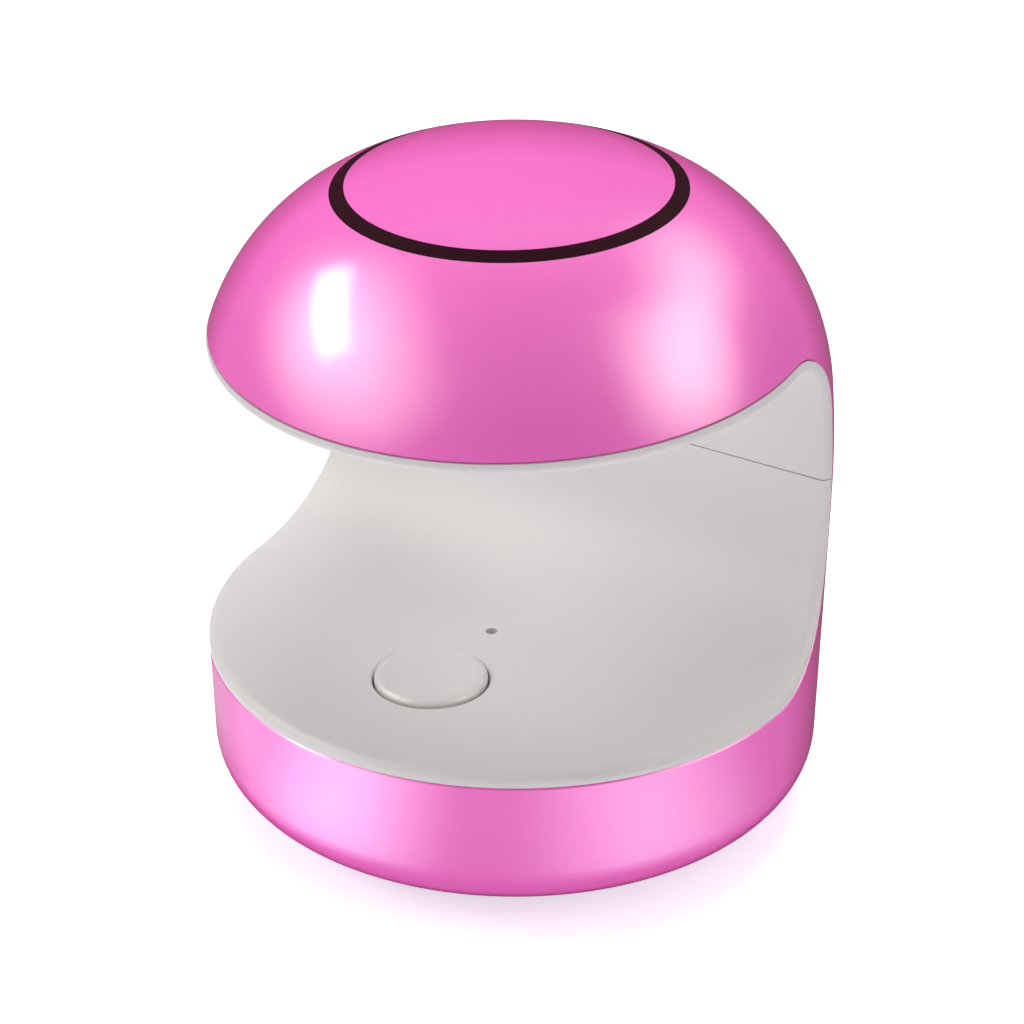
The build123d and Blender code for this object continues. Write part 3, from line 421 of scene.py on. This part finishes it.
finishLooks = {
    "pearl_pink": pearlLook,
    "warm_white": whiteLook,
    "button_white": {
        **whiteLook, "color": (0.69, 0.66, 0.652), "otherColor": (0.675, 0.645, 0.637), "roughness": 0.4,
        "even": {**whiteLook["even"], "Specular IOR Level": 0.2},
    },
    "dark_plum": {
        "color": (0.019, 0.002, 0.0065), "otherColor": (0.022, 0.0025, 0.008), "roughness": 0.55,
        "bumpStrength": 0.1, "even": {"Specular IOR Level": 0.02},
    },
    "cover_white": {
        "color": (0.74, 0.72, 0.70), "otherColor": (0.71, 0.69, 0.67), "roughness": 0.6,
        "grain": 2600.0, "bumpStrength": 0.6, "bumpDepth": 0.00004,
    },
    "foot_rubber": {
        "color": (0.05, 0.05, 0.052), "otherColor": (0.07, 0.07, 0.07), "roughness": 0.75,
        "grain": 3000.0, "bumpStrength": 0.5, "bumpDepth": 0.00004,
    },
    "screw_steel": {
        "color": (0.55, 0.56, 0.58), "otherColor": (0.48, 0.48, 0.5), "patches": 300.0,
        "roughness": 0.32, "roughnessDrift": 0.15, "even": {"Metallic": 1.0},
    },
    "bright_coating": {
        "color": (0.86, 0.86, 0.88), "otherColor": (0.82, 0.82, 0.85), "roughness": 0.16,
        "ripple": 260.0, "rippleShare": 0.8, "even": {"Metallic": 1.0},
    },
    "board_aluminium": {"color": (0.83, 0.83, 0.82), "otherColor": (0.8, 0.8, 0.79), "roughness": 0.4},
    "lamp_lens": {
        "color": (0.85, 0.8, 0.42), "otherColor": (0.82, 0.76, 0.36), "patches": 400.0,
        "roughness": 0.2, "even": {"Coat Weight": 0.8, "Coat Roughness": 0.05},
    },
    "board_green": {
        "color": (0.015, 0.16, 0.05), "otherColor": (0.03, 0.24, 0.09), "patches": 220.0,
        "roughness": 0.35, "even": {"Coat Weight": 0.4},
    },
    "part_black": {"color": (0.02, 0.02, 0.021), "otherColor": (0.03, 0.03, 0.031), "roughness": 0.5},
    "thin_steel": {
        "color": (0.62, 0.62, 0.63), "otherColor": (0.55, 0.55, 0.56), "patches": 200.0,
        "roughness": 0.28, "roughnessDrift": 0.12, "even": {"Metallic": 1.0},
    },
    "clear_plastic": {
        "color": (0.9, 0.92, 0.93), "otherColor": (0.88, 0.9, 0.92), "roughness": 0.15,
        "even": {"Transmission Weight": 0.8, "IOR": 1.49},
    },
    "can_aluminium": {
        "color": (0.72, 0.72, 0.74), "otherColor": (0.65, 0.65, 0.67), "roughness": 0.3,
        "even": {"Metallic": 1.0},
    },
    "header_white": {"color": (0.8, 0.78, 0.7), "otherColor": (0.77, 0.75, 0.67), "roughness": 0.5},
    "pin_brass": {
        "color": (0.82, 0.62, 0.26), "otherColor": (0.74, 0.55, 0.22), "roughness": 0.25,
        "even": {"Metallic": 1.0},
    },
    "wire_cover": {"color": (0.5, 0.02, 0.02), "otherColor": (0.45, 0.015, 0.015), "roughness": 0.45},
}


# Pearl paint turns deeper where it is seen edge on: partly its own flop and partly painted shade along the
# edges. Its gloss stays soft there
def addFlopAndEdgeShade(tree, shader, paint, look):
    weight = tree.nodes.new("ShaderNodeLayerWeight")
    weight.inputs["Blend"].default_value = look["facingBlend"]

    def addSlope(limits):
        slope = tree.nodes.new("ShaderNodeMapRange")
        for socket, value in zip(("From Min", "From Max", "To Min", "To Max"), limits):
            slope.inputs[socket].default_value = value
        tree.links.new(weight.outputs["Facing"], slope.inputs["Value"])
        return slope.outputs["Result"]

    for socket, limits in look["edgeSockets"].items():
        tree.links.new(addSlope(limits), shader.inputs[socket])
    # painted shade along the edges, together with the paint's own flop: the colour deepens where the face is
    # seen edge on
    flopAndShade = tree.nodes.new("ShaderNodeMix")
    flopAndShade.data_type = "RGBA"
    flopAndShade.inputs["B"].default_value = look["flopAndShadeColor"] + (1,)
    tree.links.new(addSlope(look["flopAndShadeDepth"]), flopAndShade.inputs["Factor"])
    tree.links.new(paint, flopAndShade.inputs["A"])
    tree.links.new(flopAndShade.outputs["Result"], shader.inputs["Base Color"])


# A finish: tone drift into colour and roughness, grain into a bump, and even values on the shader itself
def addFinish(name, given):
    look = {**plainLook, **given}
    material = bpy.data.materials.new(name)
    material.use_nodes = True
    tree = material.node_tree
    shader = tree.nodes["Principled BSDF"]
    drift = tree.nodes.new("ShaderNodeGroup")
    drift.node_tree = driftGroup
    drift.inputs["Color"].default_value = look["color"] + (1,)
    drift.inputs["Other color"].default_value = look["otherColor"] + (1,)
    drift.inputs["Patches per metre"].default_value = look["patches"]
    drift.inputs["Roughness"].default_value = look["roughness"]
    drift.inputs["Roughness drift"].default_value = look["roughnessDrift"]
    tree.links.new(drift.outputs["Color"], shader.inputs["Base Color"])
    tree.links.new(drift.outputs["Roughness"], shader.inputs["Roughness"])
    grain = tree.nodes.new("ShaderNodeGroup")
    grain.node_tree = grainGroup
    grain.inputs["Cells per metre"].default_value = look["grain"]
    grain.inputs["Ripple per metre"].default_value = look["ripple"]
    grain.inputs["Ripple share"].default_value = look["rippleShare"]
    bump = tree.nodes.new("ShaderNodeBump")
    bump.inputs["Strength"].default_value = look["bumpStrength"]
    bump.inputs["Distance"].default_value = look["bumpDepth"]
    tree.links.new(grain.outputs["Height"], bump.inputs["Height"])
    tree.links.new(bump.outputs["Normal"], shader.inputs["Normal"])
    for socket, value in look["even"].items():
        shader.inputs[socket].default_value = value
    if "edgeSockets" in look:
        addFlopAndEdgeShade(tree, shader, drift.outputs["Color"], look)
    return material


finishes = {name: addFinish(name, look) for name, look in finishLooks.items()}
for part in frame["record"]["subparts"]:
    mesh = nodes[part["node"]].data
    mesh.materials.clear()
    mesh.materials.append(finishes[part["material_slot"]])
print("finishes placed:", len(finishes))
